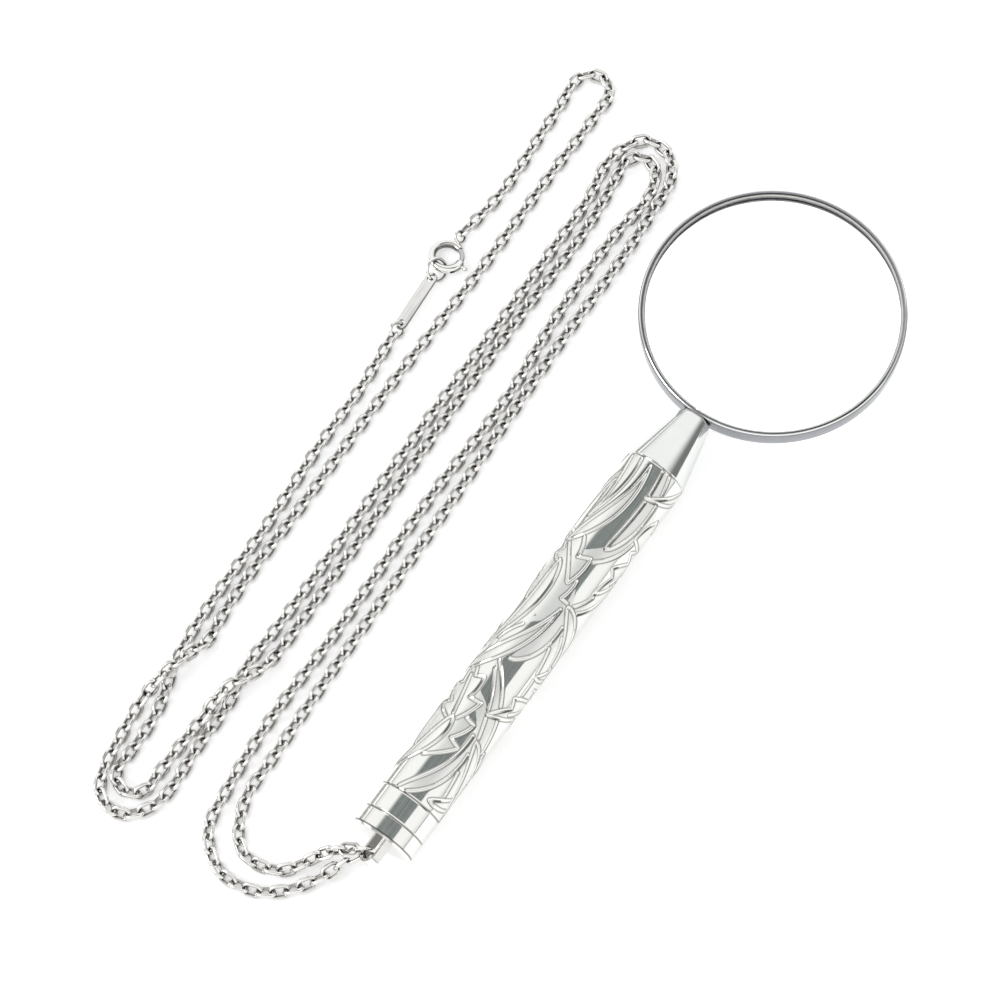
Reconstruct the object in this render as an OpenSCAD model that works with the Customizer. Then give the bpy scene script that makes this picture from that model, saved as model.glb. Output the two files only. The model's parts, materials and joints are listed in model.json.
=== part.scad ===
// Pendant magnifying glass on a neck chain, lying on a table, in millimetres.
// The origin is on the table under the middle of lens and handle; +X runs to the lens, +Z is up.

/* [Lens and frame] */
// Outer diameter of the lens frame
frame_d = 40; // [34:0.5:46]
// Height of the frame band
frame_h = 3.2; // [2.6:0.1:4.5]
// Wall of the frame band around the lens
frame_wall = 0.6; // [0.5:0.05:1.2]
// Rounding of the band's outer edges
frame_round = 0.5; // [0.1:0.05:0.5]
// Width of the seat under the lens edge
seat_w = 0.4; // [0.2:0.05:0.8]
// Thickness of the lens at its edge
lens_edge = 1; // [0.7:0.05:1.2]
// Radius of both lens faces
lens_curve = 104; // [80:1:200]
// Clearance around the lens edge
lens_gap = 0.05; // [0.02:0.01:0.15]
// Wire of the split retaining ring
retain_d = 0.56; // [0.4:0.02:0.7]
// Depth of the groove that holds the retaining ring
retain_depth = 0.15; // [0.1:0.01:0.25]
// Split of the retaining ring in degrees
retain_split = 1.5; // [1:0.5:6]

/* [Handle] */
// Length of the ferrule from barrel to frame
ferrule_len = 10.7; // [8:0.1:14]
// Diameter of the ferrule's tip
ferrule_tip_d = 5.2; // [4:0.1:6.5]
// Rounding of the ferrule's tip
ferrule_round = 0.8; // [0.2:0.1:1]
// Diameter of the barrel
barrel_d = 10; // [8:0.1:12]
// Length of the barrel
barrel_len = 64.5; // [50:0.5:80]
// Wall of the barrel
barrel_wall = 0.5; // [0.4:0.05:0.8]
// Distance of the border line from the barrel's tail
border_at = 3.9; // [2:0.1:8]
// Width of the border line
border_w = 0.3; // [0.2:0.05:0.5]
// Depth of the border line
border_depth = 0.1; // [0.05:0.01:0.2]
// Bevel on both sides of a seam
seam_bevel = 0.2; // [0.1:0.05:0.4]
// Length of the end cap
cap_len = 3; // [2:0.1:5]
// Bevel on the end cap's outer edge
cap_bevel = 0.4; // [0.2:0.05:0.8]
// Length of a spigot inside the barrel
spigot_len = 2.5; // [1.5:0.1:4]
// Radial clearance of the pieces inside the barrel
spigot_gap = 0.02; // [0.01:0.01:0.05]
// Diameter of the stud between frame and handle
stud_d = 2.4; // [2:0.1:3]
// Length of the front plug inside the barrel
plug_len = 7; // [5:0.5:10]

/* [Bail] */
// Reach of the bail behind the end cap
bail_len = 3.8; // [3.5:0.1:5]
// Outer radius of the bail's bend
bail_r = 1.8; // [1.6:0.05:2.2]
// Thickness of the bail's strap
bail_t = 0.5; // [0.4:0.05:0.6]
// Width of the bail's strap
bail_w = 1.3; // [1:0.05:1.4]
// Depth of the bail's feet in the end cap
bail_foot = 1; // [0.5:0.1:2]
// Turn of the bail about the handle
bail_turn = 45; // [30:1:60]

/* [Chain] */
// Wire of the chain links
wire = 0.62; // [0.5:0.01:0.66]
// Spacing of the chain links
pitch = 2; // [1.9:0.02:2.4]
// Outer width of a chain link
link_w = 2.4; // [2.2:0.02:2.5]
// Play between two joined links
link_play = 0.12; // [0.08:0.01:0.2]
// Roll of the links to either side
link_roll = 45; // [40:1:50]

/* [Clasp and tag] */
// Outer diameter of the spring ring clasp
clasp_d = 6; // [5.5:0.1:7]
// Tube of the spring ring clasp
clasp_tube = 1.3; // [1.1:0.05:1.5]
// Wall of the clasp's tube
clasp_wall = 0.2; // [0.15:0.01:0.25]
// Clearance around the clasp's bolt
bolt_gap = 0.05; // [0.02:0.01:0.08]
// Opening of the clasp's ring in degrees
mouth = 60; // [50:1:70]
// Travel of the clasp's bolt in degrees
bolt_travel = 36; // [30:1:40]
// Outer diameter of the ring that hangs in the clasp
hook_d = 4; // [3.6:0.1:4.4]
// Wire of the ring that hangs in the clasp
hook_wire = 0.5; // [0.4:0.05:0.6]
// Distance between the holes of the tag
tag_len = 8.4; // [7:0.1:10]
// Width of the tag
tag_w = 2; // [1.6:0.1:2.4]
// Thickness of the tag
tag_t = 0.4; // [0.3:0.05:0.6]
// Diameter of the tag's holes
tag_hole = 1.2; // [1.1:0.05:1.3]
// Outer diameter of the ring that joins the tag to the chain
tag_ring_d = 3; // [2.8:0.1:3.4]
// Wire of the ring that joins the tag to the chain
tag_ring_wire = 0.6; // [0.5:0.05:0.7]
// Outer diameter of the eye on the clasp
eye_d = 2.4; // [2.3:0.05:2.8]
// Wire of the eye on the clasp
eye_wire = 0.5; // [0.4:0.05:0.6]
// Outer diameter of the ring in the bail
bail_ring_d = 3.6; // [3.4:0.05:4]
// Wire of the ring in the bail
bail_ring_wire = 0.55; // [0.45:0.05:0.65]

/* [Hidden] */
$fn = 64;
silver = "Silver";
polished = "Gainsboro";
steel = "SlateGray";
glass = "LightCyan";
up = [0, 0, 1];
rest_gap = 0.02;
touch_gap = 0.005;
slit = 2;

// Places along the handle
overall_len = frame_d + ferrule_len + barrel_len + cap_len + bail_len;
x_ring = overall_len / 2 - frame_d / 2;
x_tip = x_ring - frame_d / 2;
x_seam = x_tip - ferrule_len;
x_tail = x_seam - barrel_len;
x_end = x_tail - cap_len;
x_bail = x_end - bail_len;
axis_z = barrel_d / 2;
tube_r = barrel_d / 2 - barrel_wall;
plug_r = tube_r - spigot_gap;
stud_hole_r = stud_d / 2 + spigot_gap;

// Lens seat and retaining ring, measured from the middle of the band
bore_r = frame_d / 2 - frame_wall;
open_r = bore_r - seat_w;
lens_r = bore_r - lens_gap;
lens_mid = lens_edge + 2 * sag(lens_r);
seat_z = -face_z(open_r) - touch_gap;
retain_r = bore_r + retain_depth - retain_d / 2;
retain_z = face_z(retain_r) + retain_d / 2 + 0.02;
retain_at = 178.4;

function sag(r) = lens_curve - sqrt(lens_curve * lens_curve - r * r);
function face_z(r) = lens_edge / 2 + sag(lens_r) - sag(r);

// Bail and the ring in it
bail_mid = bail_r - bail_t / 2;
bail_ring_r = (bail_ring_d - bail_ring_wire) / 2;
bail_ring_yaw = 120;
bail_ring_at = [x_bail + 1.65,
                bail_mid * sin(bail_turn) + 0.26,
                axis_z - bail_mid * cos(bail_turn) - 0.25];

// Tag and clasp, in a row that lies at a small turn from the handle
row_turn = 4;
row = [cos(row_turn), sin(row_turn), 0];
ring_roll = 45;
tag_roll = -20;
tag_ring_r = (tag_ring_d - tag_ring_wire) / 2;
tag_ring_at = [x_bail + 69.4, 46.05, tag_ring_r * sin(ring_roll) + tag_ring_wire / 2 + 0.05];
hook_r = (hook_d - hook_wire) / 2;
hook_z = hook_r * sin(ring_roll) + hook_wire / 2 + rest_gap;
tag_start = tag_ring_at + (tag_ring_r + 0.05) * row;
tag_end = [tag_start.x + tag_len * row.x, tag_start.y + tag_len * row.y, hook_z];
hook_at = tag_end + (hook_r - 0.05) * row;
clasp_r = (clasp_d - clasp_tube) / 2;
bore = clasp_tube / 2 - clasp_wall;
bolt_r = bore - bolt_gap;
clasp_tilt = asin((hook_z - clasp_tube / 2 - 0.01) / (2 * clasp_r));
clasp_hang = hook_r - clasp_tube / 2 - hook_wire / 2 - 0.35;
clasp_at = hook_at + (clasp_hang + clasp_r * cos(clasp_tilt)) * row - clasp_r * sin(clasp_tilt) * up;
clasp_dir = cos(clasp_tilt) * row - sin(clasp_tilt) * up;
clasp_up = sin(clasp_tilt) * row + cos(clasp_tilt) * up;
eye_r = (eye_d - eye_wire) / 2;
eye_lift = 0.62;
eye_out = clasp_d / 2 + eye_r - 0.15;
eye_at = clasp_at + eye_out * clasp_dir + eye_lift * clasp_up;

// Angles about the clasp's axis, from the eye
mouth_end = -26;
bolt_tip = mouth_end + 6;
bolt_tail = mouth_end - mouth - 35;
trigger_at = mouth_end - mouth - 11;
trigger_r = 0.22;
knob_r = 0.42;
slot_from = trigger_at - bolt_travel - 6;
slot_h = 0.54;
stop_from = 55;
stop_to = 75;
spring_from = bolt_tail - 2;
spring_to = stop_to - 360 + 1;
spring_wire = 0.14;
coil_r = bore - spring_wire / 2 - 0.04;
coils = 10;

// Chain links
link_r = (link_w - wire) / 2;
link_straight = pitch + wire + link_play - 2 * link_r;
lie = link_r * sin(link_roll) + wire / 2 + rest_gap;
hang = link_play / 2 - 0.05;
spline_steps = 24;
bail_twist_links = 4;

// Routes of the two strands: X from the bail's tip, Y from the handle's axis,
// and the lift above a link that lies on the table
tag_route = [
    [59, 45, 0], [47, 44.5, 0], [35, 43.5, 0], [15, 42.5, 0], [11, 42, 0],
    [7, 41, 0], [3, 39.5, 0], [-7.5, 38.5, 0], [-9.4, 38.5, 0], [-10.9, 36.25, 0],
    [-10.85, 35, 0], [-9.35, 33.25, 0], [-6.15, 33.25, 0], [4, 33, 0], [9, 32.5, 2.2],
    [15.5, 30, 1.4], [18.5, 30, 0], [37, 30.5, 0], [61, 31.5, 0], [81, 32, 0],
    [103, 32.5, 0], [108.45, 33.25, 0], [113, 33.5, 0], [114.25, 31.75, 0], [114, 29.75, 0],
    [111.5, 28, 0], [101, 28, 0], [85, 27.5, 0], [71, 26, 0], [51, 26, 0],
    [27, 25, 0], [5, 24.5, 0], [-3, 23.5, 0], [-8, 22.5, 0], [-12.5, 16.5, 0],
    [-12, 12, 0], [-3.1, 4, 0.5], [-0.5, 3.25, 1]
];
clasp_route = [
    [95, 46.5, 0], [113, 47.5, 0], [120.75, 47.5, 0], [121.9, 46, 0], [120.5, 42.5, 0],
    [116.15, 42.15, 0], [105, 42, 0], [85, 41.5, 0], [61, 41.5, 0], [41, 41, 0],
    [17, 40, 0], [14, 39.5, 0.2], [11, 40, 2], [5, 41.5, 2], [2, 42, 0.2],
    [-3, 41.5, 0], [-14, 37, 0], [-14, 34, 0], [-11.5, 31.5, 0], [1, 31, 0],
    [10, 31.5, 0], [14, 32.5, 0], [21, 32.5, 0], [55, 33.5, 0], [95, 34.5, 0],
    [105, 35, 0], [110, 36, 0], [117, 33, 0], [117, 29.5, 0], [114, 26.5, 0],
    [107, 25.5, 0], [81, 24.5, 0], [51, 23, 0], [5, 21, 0], [-2, 20.5, 0],
    [-8.35, 15.9, 0], [-7.5, 10.5, 0], [-1.5, 6, 1.5], [0.1, 4.1, 2.7]
];

// Ends of the strands, inside the rings that hold them
tag_from = tag_ring_at - (tag_ring_r - tag_ring_wire / 2 + hang) * row;
tag_to = in_bail_ring(-40);
clasp_from = eye_at + (eye_r - eye_wire / 2 + hang - 0.05) * row;
clasp_to = in_bail_ring(8);
tag_joints = joints(spline(placed(tag_from, tag_route, tag_to)));
clasp_joints = joints(spline(placed(clasp_from, clasp_route, clasp_to)));

// Point inside the bail's ring where a strand's last link hangs
function in_bail_ring(a) = bail_ring_at
    + (bail_ring_r - bail_ring_wire / 2 + hang)
    * (cos(a) * [cos(bail_ring_yaw), sin(bail_ring_yaw), 0] + sin(a) * up);

// Route in the part's frame, with its two ends
function placed(from, route, to) = concat(
    [from],
    [for (p = route) [x_bail + p.x, p.y, lie + p.z]],
    [to]);

// Smooth curve through the points of a route
function neighbour(p, i) = i < 0 ? 2 * p[0] - p[1]
    : i >= len(p) ? 2 * p[len(p) - 1] - p[len(p) - 2]
    : p[i];
function slope(a, b, c) = let (
        ab = norm(b - a),
        bc = norm(c - b)
    )
    ((b - a) * bc / ab + (c - b) * ab / bc) / (ab + bc);
function hermite(p1, m1, p2, m2, t) = (2 * t * t * t - 3 * t * t + 1) * p1
    + (t * t * t - 2 * t * t + t) * m1
    + (3 * t * t - 2 * t * t * t) * p2
    + (t * t * t - t * t) * m2;
function on_table(p) = [p.x, p.y, max(p.z, lie)];
function spline(p) = [
    for (i = [0 : len(p) - 2])
        let (
            chord = norm(p[i + 1] - p[i]),
            m1 = chord * slope(neighbour(p, i - 1), p[i], p[i + 1]),
            m2 = chord * slope(p[i], p[i + 1], neighbour(p, i + 2))
        )
        for (k = [0 : i < len(p) - 2 ? spline_steps - 1 : spline_steps])
            on_table(hermite(p[i], m1, p[i + 1], m2, k / spline_steps))
];

// Points where neighbouring links meet, evenly spaced along the curve
function run(q) = [
    for (i = 0, s = 0; i < len(q); s = s + norm(neighbour(q, i + 1) - q[i]), i = i + 1) s
];
function joints(q) = let (
        s = run(q),
        total = s[len(s) - 1],
        links = 2 * round((total / pitch - 1) / 2) + 1,
        xs = [for (i = [0 : len(q) - 1]) [s[i], q[i].x]],
        ys = [for (i = [0 : len(q) - 1]) [s[i], q[i].y]],
        zs = [for (i = [0 : len(q) - 1]) [s[i], q[i].z]]
    )
    [for (i = [0 : links])
        let (at = total * i / links)
        [lookup(at, xs), lookup(at, ys), lookup(at, zs)]
    ];

// Points of the clasp's spring
function coil_point(t) = let (
        a = spring_from + (spring_to - spring_from) * t,
        b = 360 * coils * t,
        r = clasp_r + coil_r * cos(b)
    )
    [r * cos(a), r * sin(a), coil_r * sin(b)];
function coil_out(t) = let (
        a = spring_from + (spring_to - spring_from) * t,
        b = 360 * coils * t
    )
    [cos(b) * cos(a), cos(b) * sin(a), sin(b)];
function unit(v) = v / norm(v);

module along_handle(x) {
    translate([x, 0, axis_z])
        rotate([0, 90, 0])
            children();
}

module at_ring() {
    translate([x_ring, 0, axis_z])
        children();
}

module laid(at, dir, roll) {
    translate(at)
        rotate([roll, -asin(dir.z / norm(dir)), atan2(dir.y, dir.x)])
            children();
}

module at_clasp() {
    laid(clasp_at, clasp_dir, 0)
        children();
}

// Part of a ring about Z, between two angles
module arc_of(from, to, r) {
    rotate([0, 0, from])
        rotate_extrude(angle = to - from)
            translate([r, 0])
                children();
}

// What a rounding takes from an outer corner at (x, y)
module corner_cut(x, y, r) {
    translate([x - r, y - r])
        difference() {
            square(r + 0.5);
            circle(r);
        }
}

module jump_ring(r, d, slit_at) {
    arc_of(slit_at + slit / 2, slit_at + 360 - slit / 2, r)
        circle(d = d);
}

module lens() {
    color(glass, 0.4)
        at_ring()
            rotate_extrude()
                intersection() {
                    translate([0, -lens_mid])
                        square([lens_r, 2 * lens_mid]);
                    translate([0, lens_mid / 2 - lens_curve])
                        circle(lens_curve, $fn = 720);
                    translate([0, lens_curve - lens_mid / 2])
                        circle(lens_curve, $fn = 720);
                }
}

module lens_frame() {
    color(polished)
        at_ring()
            rotate_extrude()
                difference() {
                    translate([open_r, -frame_h / 2])
                        square([frame_d / 2 - open_r, frame_h]);
                    translate([open_r - 1, seat_z])
                        square([1 + seat_w, frame_h]);
                    translate([retain_r, retain_z])
                        circle(d = retain_d + 2 * touch_gap);
                    corner_cut(frame_d / 2, frame_h / 2, frame_round);
                    mirror([0, 1])
                        corner_cut(frame_d / 2, frame_h / 2, frame_round);
                }
}

module retaining_ring() {
    color(silver)
        at_ring()
            translate([0, 0, retain_z])
                arc_of(retain_at + retain_split / 2, retain_at + 360 - retain_split / 2, retain_r)
                    circle(d = retain_d);
}

module frame_stud() {
    color(steel)
        difference() {
            along_handle(x_seam - spigot_len - plug_len + 1)
                rotate_extrude()
                    polygon([
                        [0, 0],
                        [stud_d / 2 - 0.3, 0],
                        [stud_d / 2, 0.3],
                        [stud_d / 2, x_tip - x_seam + spigot_len + plug_len],
                        [0, x_tip - x_seam + spigot_len + plug_len]
                    ]);
            at_ring()
                translate([0, 0, -barrel_d])
                    cylinder(d = frame_d, h = 2 * barrel_d);
        }
}

module ferrule() {
    color(polished)
        difference() {
            along_handle(x_seam)
                rotate_extrude()
                    difference() {
                        polygon([
                            [stud_hole_r, -spigot_len],
                            [plug_r, -spigot_len],
                            [plug_r, 0],
                            [barrel_d / 2 - seam_bevel, 0],
                            [barrel_d / 2, seam_bevel],
                            [ferrule_tip_d / 2, ferrule_len],
                            [ferrule_tip_d / 2, ferrule_len + 0.1],
                            [stud_hole_r, ferrule_len + 0.1]
                        ]);
                        corner_cut(ferrule_tip_d / 2, ferrule_len + 0.1, ferrule_round);
                    }
            at_ring()
                translate([0, 0, -barrel_d])
                    cylinder(d = frame_d, h = 2 * barrel_d);
        }
}

module front_plug() {
    color(steel)
        along_handle(x_seam - spigot_len - plug_len)
            difference() {
                cylinder(r = plug_r, h = plug_len);
                translate([0, 0, -1])
                    cylinder(r = stud_hole_r, h = plug_len + 2);
            }
}

module barrel() {
    color(silver)
        along_handle(x_tail)
            rotate_extrude()
                difference() {
                    polygon([
                        [tube_r, 0],
                        [barrel_d / 2 - seam_bevel, 0],
                        [barrel_d / 2, seam_bevel],
                        [barrel_d / 2, barrel_len - seam_bevel],
                        [barrel_d / 2 - seam_bevel, barrel_len],
                        [tube_r, barrel_len]
                    ]);
                    translate([barrel_d / 2 - border_depth, border_at - border_w / 2])
                        square([1, border_w]);
                }
}

// The bail's strap, drawn flat with its feet towards +X
module bail_strap(feet) {
    linear_extrude(bail_w, center = true)
        difference() {
            union() {
                circle(bail_r);
                translate([0, -bail_r])
                    square([feet, 2 * bail_r]);
            }
            circle(bail_r - bail_t);
            translate([0, bail_t - bail_r])
                square([feet + 1, 2 * (bail_r - bail_t)]);
        }
}

module end_cap() {
    color(silver)
        difference() {
            along_handle(x_end)
                rotate_extrude()
                    polygon([
                        [0, 0],
                        [barrel_d / 2 - cap_bevel, 0],
                        [barrel_d / 2, cap_bevel],
                        [barrel_d / 2, cap_len - seam_bevel],
                        [barrel_d / 2 - seam_bevel, cap_len],
                        [plug_r, cap_len],
                        [plug_r, cap_len + spigot_len],
                        [0, cap_len + spigot_len]
                    ]);
            laid([x_bail + bail_r, 0, axis_z], [1, 0, 0], -bail_turn)
                for (side = [-1, 1])
                    translate([bail_len - bail_r, side * bail_mid, 0])
                        cube([2 * bail_foot, bail_t, bail_w], center = true);
        }
}

module bail() {
    color(silver)
        laid([x_bail + bail_r, 0, axis_z], [1, 0, 0], -bail_turn)
            bail_strap(bail_len - bail_r + bail_foot);
}

module bail_ring() {
    color(silver)
        laid(bail_ring_at, [cos(bail_ring_yaw), sin(bail_ring_yaw), 0], 90)
            jump_ring(bail_ring_r, bail_ring_wire, 100);
}

module clasp_body() {
    color(silver)
        at_clasp()
            difference() {
                arc_of(mouth_end, mouth_end + 360 - mouth, clasp_r)
                    difference() {
                        circle(d = clasp_tube);
                        circle(bore);
                    }
                arc_of(slot_from, trigger_at + 6, clasp_r)
                    translate([bore / 2, -slot_h / 2])
                        square([clasp_tube, slot_h]);
            }
}

module clasp_stop() {
    color(steel)
        at_clasp()
            arc_of(stop_from, stop_to, clasp_r)
                circle(bore - touch_gap);
}

module clasp_bolt() {
    color(steel)
        at_clasp()
            arc_of(bolt_tail, bolt_tip, clasp_r)
                circle(bolt_r);
}

module clasp_trigger() {
    color(silver)
        at_clasp()
            difference() {
                rotate([0, 0, trigger_at])
                    translate([clasp_r, 0, 0])
                        union() {
                            rotate([0, 90, 0])
                                cylinder(r = trigger_r, h = clasp_tube / 2 + 0.5);
                            translate([clasp_tube / 2 + 0.5, 0, 0])
                                sphere(knob_r);
                        }
                arc_of(trigger_at - 20, trigger_at + 20, clasp_r)
                    circle(bolt_r);
            }
}

module clasp_spring() {
    rings = 8 * coils;
    sides = 6;
    points = [
        for (i = [0 : rings])
            let (
                t = i / rings,
                at = coil_point(t),
                dir = unit(coil_point(t + 0.001) - coil_point(t - 0.001)),
                out = unit(coil_out(t) - (coil_out(t) * dir) * dir),
                side = cross(dir, out)
            )
            for (k = [0 : sides - 1])
                at + spring_wire / 2 * (cos(60 * k) * out + sin(60 * k) * side)
    ];
    walls = [
        for (i = [0 : rings - 1])
            for (k = [0 : sides - 1])
                let (
                    a = i * sides + k,
                    b = i * sides + (k + 1) % sides
                )
                for (face = [[a, b + sides, b], [a, a + sides, b + sides]])
                    face
    ];
    last = rings * sides;
    ends = [
        for (k = [1 : sides - 2])
            for (face = [[0, k, k + 1], [last, last + k + 1, last + k]])
                face
    ];
    gap = min([
        for (i = [0 : rings])
            for (j = [i + 6 : 1 : rings])
                norm(coil_point(i / rings) - coil_point(j / rings))
    ]) - spring_wire;
    echo(spring_least_gap = gap);
    color(steel)
        at_clasp()
            polyhedron(points, concat(walls, ends));
}

module clasp_eye() {
    color(silver)
        difference() {
            laid(eye_at, clasp_dir, ring_roll)
                rotate_extrude()
                    translate([eye_r, 0])
                        circle(d = eye_wire);
            at_clasp()
                rotate_extrude()
                    translate([clasp_r, 0])
                        circle(d = clasp_tube);
        }
}

module hook_ring() {
    color(silver)
        laid(hook_at, row, ring_roll)
            jump_ring(hook_r, hook_wire, 90);
}

module tag_plate() {
    color(silver)
        laid(tag_start, tag_end - tag_start, tag_roll)
            linear_extrude(tag_t, center = true)
                difference() {
                    union() {
                        for (x = [0, tag_len])
                            translate([x, 0])
                                circle(d = tag_w);
                        translate([0, -tag_w / 2])
                            square([tag_len, tag_w]);
                    }
                    for (x = [0, tag_len])
                        translate([x, 0])
                            circle(d = tag_hole);
                }
}

module tag_ring() {
    color(silver)
        laid(tag_ring_at, row, ring_roll)
            jump_ring(tag_ring_r, tag_ring_wire, 90);
}

// One oval link, in the XY plane, with its length along X
module link() {
    for (side = [-1, 1]) {
        translate([side * link_straight / 2, 0, 0])
            rotate([0, 0, 90 - 90 * side])
                arc_of(-90, 90, link_r)
                    circle(d = wire);
        translate([-link_straight / 2, side * link_r, 0])
            rotate([0, 90, 0])
                cylinder(d = wire, h = link_straight);
    }
}

// A stretch of a strand: links rolled to either side in turn,
// the last few untwisting so that they hang in the bail's ring
module strand(at, side, stretch, stretches) {
    links = len(at) - 1;
    first = floor(links * (stretch - 1) / stretches);
    last = floor(links * stretch / stretches) - 1;
    for (i = [first : last]) {
        lean = i % 2 == 0 ? side : -side;
        twist = side * max(0, 1 - (links - 1 - i) / bail_twist_links);
        laid((at[i] + at[i + 1]) / 2, at[i + 1] - at[i], link_roll * (lean - twist))
            link();
    }
}

module tag_chain(stretch) {
    color(silver)
        strand(tag_joints, 1, stretch, 3);
}

module clasp_chain(stretch) {
    color(silver)
        strand(clasp_joints, -1, stretch, 4);
}

lens();
lens_frame();
retaining_ring();
frame_stud();
ferrule();
front_plug();
barrel();
end_cap();
bail();
bail_ring();
clasp_body();
clasp_stop();
clasp_bolt();
clasp_trigger();
clasp_spring();
clasp_eye();
hook_ring();
tag_plate();
tag_ring();
tag_chain(1);  // tag_chain_1
tag_chain(2);  // tag_chain_2
tag_chain(3);  // tag_chain_3
clasp_chain(1);  // clasp_chain_1
clasp_chain(2);  // clasp_chain_2
clasp_chain(3);  // clasp_chain_3
clasp_chain(4);  // clasp_chain_4
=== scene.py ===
"""Looks of a pendant magnifying glass on a neck chain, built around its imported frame."""

import json
import math

import bpy
import numpy as np
from mathutils import Matrix, Vector, kdtree


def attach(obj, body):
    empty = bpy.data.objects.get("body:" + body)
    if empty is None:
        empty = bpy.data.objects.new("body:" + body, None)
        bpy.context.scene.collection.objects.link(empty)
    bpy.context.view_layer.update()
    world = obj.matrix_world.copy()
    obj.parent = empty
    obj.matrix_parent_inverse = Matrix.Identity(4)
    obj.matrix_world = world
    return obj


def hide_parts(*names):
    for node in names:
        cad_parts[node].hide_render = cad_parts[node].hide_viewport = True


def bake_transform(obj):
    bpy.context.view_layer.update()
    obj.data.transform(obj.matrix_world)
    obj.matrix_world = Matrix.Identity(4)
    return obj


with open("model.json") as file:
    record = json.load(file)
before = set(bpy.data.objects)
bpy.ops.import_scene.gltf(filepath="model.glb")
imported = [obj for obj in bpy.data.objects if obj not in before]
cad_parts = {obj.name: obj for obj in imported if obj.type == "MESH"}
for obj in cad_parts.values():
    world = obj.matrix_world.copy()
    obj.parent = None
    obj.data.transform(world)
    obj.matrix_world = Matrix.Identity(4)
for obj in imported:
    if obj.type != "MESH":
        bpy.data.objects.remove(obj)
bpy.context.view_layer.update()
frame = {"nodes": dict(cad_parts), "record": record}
nodes = frame["nodes"]

# Sizes are in millimetres and angles in degrees, as in the part; meshes are made in metres
MM = 0.001
UP = np.array([0.0, 0.0, 1.0])

# Camera: where it looks, from which side, and its lens
CAMERA_TARGET = np.array([-4.6, 17.55, 0.0])
CAMERA_AZIMUTH = 43.837
CAMERA_ELEVATION = 69.742
CAMERA_ROLL = -8.549
CAMERA_DISTANCE = 464.76
CAMERA_LENS = 112.85
CAMERA_SENSOR = 36
CAMERA_CLIP = 10

# Light tent: its brightness, and how dark its parts are
TENT_LIGHT = 1.0
GAP_SHADE = 0.78
PANEL_SHADE = 0.8
SIDE_SHADE = 0.5
HORIZON_SHADE = 0.2
SKIRT_SHADE = 0.65
# Where those parts lie, with the softness of both ends: ACROSS is an angle over the handle,
# ALONG a direction along it, ROUND a compass angle and UP a height
GAP_ACROSS = math.radians(-38), math.radians(29), 0.03, 0.12
GAP_ALONG = 0.05, 0.37, 0.03, 0.03
PANEL_ROUND = math.radians(-68), math.radians(-28), 0.05, 0.05
PANEL_UP = -0.4, 0.48, 0.05, 0.2
SIDE_ROUND = math.radians(105), math.radians(178), 0.15, 0.05
SIDE_UP = -0.3, 0.6, 0.05, 0.2
HORIZON_UP = -0.3, 0.2, 0.1, 0.2
SKIRT_UP = -0.3, 0.07, 0.05, 0.03
WHITE = (1, 1, 1)
GAP_TINT = (0.90, 1.0, 0.98)
# Streaks in the gap: the noise's scale and detail, its stretch along the handle, and its range
STREAK_NOISE = 14, 5
STREAK_STRETCH = 0.3
STREAKS = 0.85, 1.1

# Lamp and floor, in metres; the glow is the share of its own white that the floor shows
LAMP_PLACE = (-0.5, 0.6, 0.7)
LAMP_AIM = (0, 0.015, 0)
LAMP_SIZE = 0.5
LAMP_POWER = 3.0
FLOOR_HALF = 4.0
FLOOR_COLOUR = (0.82, 0.82, 0.82)
FLOOR_ROUGHNESS = 0.9
FLOOR_GLOW = 0.43
MIRRORED_GLOW = 0.75

# Lens and its frame
FRAME_R = 20.0
FRAME_H = 3.2
FRAME_ROUND = 0.5
FRAME_BEVEL = 0.12
BORE_R = 19.4
OPEN_R = 19.0
SEAT_Z = -0.57
RETAIN_R = 19.27
RETAIN_Z = 0.815
GROOVE_R = 0.285
GROOVE_TURN = math.degrees(math.acos((BORE_R - RETAIN_R) / GROOVE_R))
FRAME_SEGMENTS = 320
ARC_STEPS = 8
# Rows of the band's upper round painted bright as a highlight
HIGHLIGHT_STEPS = 4, 6
LENS_R = 19.35
LENS_EDGE = 1.0
LENS_CURVE = 104.0
LENS_RINGS = 20
LENS_SEGMENTS = 160
LENS_SHARP = 30
RING_X = 41.0

# Handle
AXIS_Z = 5.0
BARREL_R = 5.0
BARREL_WALL = 0.5
BARREL_TAIL = -54.2
BARREL_LEN = 64.5
AROUND = 2 * math.pi * BARREL_R
SEAM_BEVEL = 0.2
CAP_BEVEL_X = -56.8
BORDER_AT = 3.9
BORDER_W = 0.3
BORDER_DEPTH = 0.1

# Engraving on the barrel: its length, its cuts, and the swelling and satin of its motifs
ENGRAVED_FROM = BORDER_AT + 0.35
ENGRAVED_TO = BARREL_LEN - 0.5
GRID = 0.10
CUT_HALF_W = 0.31
CUT_DEPTH = 0.16
SHORTEST_CUT = 2.5
DRAWING_STEP = 0.05
DRAWING_BREAK = 0.2
DRAWING_SKIP = 3
SWELL_DEPTH = 0.05
SWELL_W = 0.5
SATIN = 0.42
# Tarnish along the cuts, in the border line and at the barrel's ends
EDGE_W = 0.09
EDGE_TARNISH = 0.9
BORDER_TARNISH = 0.7
SEAM_TARNISH = 0.9
# Places of the motifs: rows, scatter along and round the barrel, and steps of its chance values
MOTIF_COLUMNS = 10
MOTIF_ROWS = 6
MOTIF_GAP = 0.55
SCATTER_ALONG = 0.6
SCATTER_ROUND = 0.4
CHANCE_STEP = 0.618034
ROUND_STEP = 0.755
LENGTH_STEP = 0.37
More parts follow.
